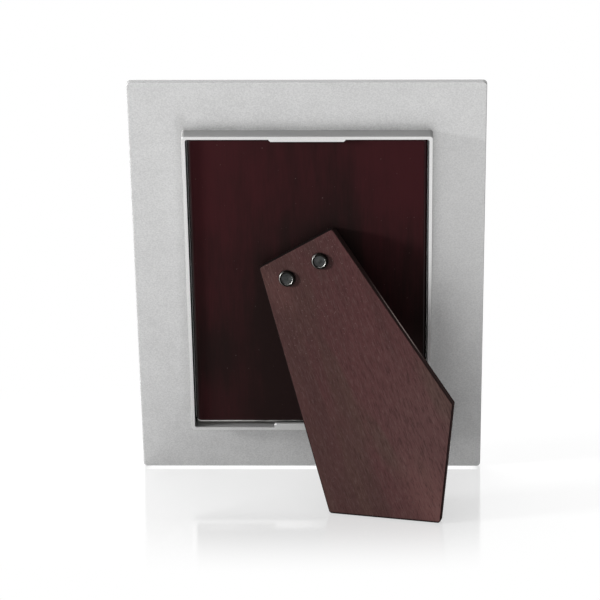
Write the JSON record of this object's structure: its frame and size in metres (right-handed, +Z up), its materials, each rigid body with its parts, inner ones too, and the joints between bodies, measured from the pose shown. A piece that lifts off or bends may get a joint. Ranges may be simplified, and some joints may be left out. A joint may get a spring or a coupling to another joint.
{
  "type": "easel back photo frame",
  "caption": "Picture frame with a flat metal border, a raised pocket rim at the back, a wooden back panel and a slanted easel leg that folds on a hinge, for standing upright or sideways.",
  "frame": {"origin": "on the table, at the middle of the box round the standing frame", "axes": "+Z up, the window faces -Y, the leg stands out towards +Y"},
  "size_m": [0.153, 0.0641, 0.2005],
  "materials": {
    "satin_metal": "fine satin, light grey",
    "clear_glass": "clear float glass",
    "print_paper": "bare photo paper",
    "grey_card": "plain card",
    "lacquered_panel": "dark mahogany stain under gloss lacquer",
    "stained_leg": "dark mahogany stain, satin lacquer",
    "hinge_steel": "plain rolled steel",
    "bright_nickel": "polished nickel"
  },
  "bodies": {
    "frame": {"frame_plate": "satin_metal", "pocket_rim": "satin_metal", "glass_pane": "clear_glass", "photo_print": "print_paper", "filler_card": "grey_card"},
    "back": {"back_panel": "lacquered_panel", "panel_hinge_leaf": "hinge_steel", "panel_rivet_caps": "bright_nickel", "panel_rivet_posts": "bright_nickel", "hinge_pin": "hinge_steel"},
    "leg": {"easel_leg": "stained_leg", "leg_hinge_leaf": "hinge_steel", "leg_rivet_caps": "bright_nickel", "leg_rivet_posts": "bright_nickel"}
  },
  "joints": [
    {"name": "back_slide", "type": "slide", "parent": "frame", "child": "back", "axis": [0, 0.2368, 0.9715], "range_m": [-0.0013, 0]},
    {"name": "leg_fold", "type": "hinge", "parent": "back", "child": "leg", "pos_m": [0.0031, 0.00279, 0.11395], "axis": [-0.8406, 0.1283, 0.5263], "range_deg": [0, 22.9]}
  ]
}
